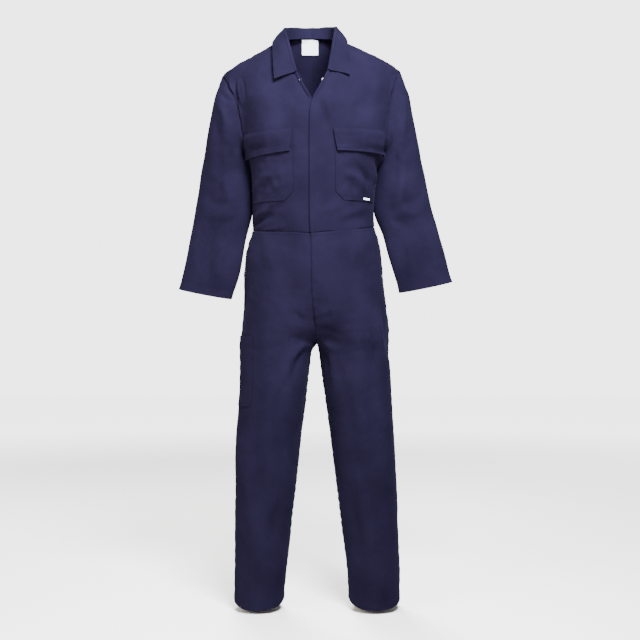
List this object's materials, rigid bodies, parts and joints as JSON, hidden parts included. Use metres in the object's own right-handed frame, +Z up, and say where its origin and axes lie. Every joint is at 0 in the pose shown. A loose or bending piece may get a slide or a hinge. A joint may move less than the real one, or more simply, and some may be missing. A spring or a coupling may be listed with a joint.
{
  "type": "boiler suit",
  "caption": "One-piece work coverall, filled out as worn: turn-down collar, wrap front with hidden studs, flapped chest pockets, long sleeves and straight legs, open and hollow.",
  "frame": {"origin": "on the centre line at the neck, at the height where the shoulders carry the suit", "axes": "+Z up towards the collar, -Y towards the front closure, +X towards the wearer's left sleeve"},
  "size_m": [0.776, 0.2939, 1.6771],
  "materials": {
    "navy_twill": "dyed polycotton twill with a soft sheen",
    "label_tape": "plain white woven tape",
    "stud_metal": "plated press stud"
  },
  "bodies": {
    "root": {"front_right": "navy_twill", "front_left": "navy_twill", "back": "navy_twill", "sleeve_right": "navy_twill", "sleeve_left": "navy_twill", "trouser_front_right": "navy_twill", "trouser_front_left": "navy_twill", "trouser_back_right": "navy_twill", "trouser_back_left": "navy_twill", "collar": "navy_twill", "pocket_right": "navy_twill", "pocket_left": "navy_twill", "flap_right": "navy_twill", "flap_left": "navy_twill", "rule_pocket": "navy_twill", "hip_pocket_right": "navy_twill", "hip_pocket_left": "navy_twill", "neck_label": "label_tape", "pocket_tag": "label_tape", "stud_socket": "stud_metal", "stud_cap": "stud_metal"}
  },
  "joints": []
}
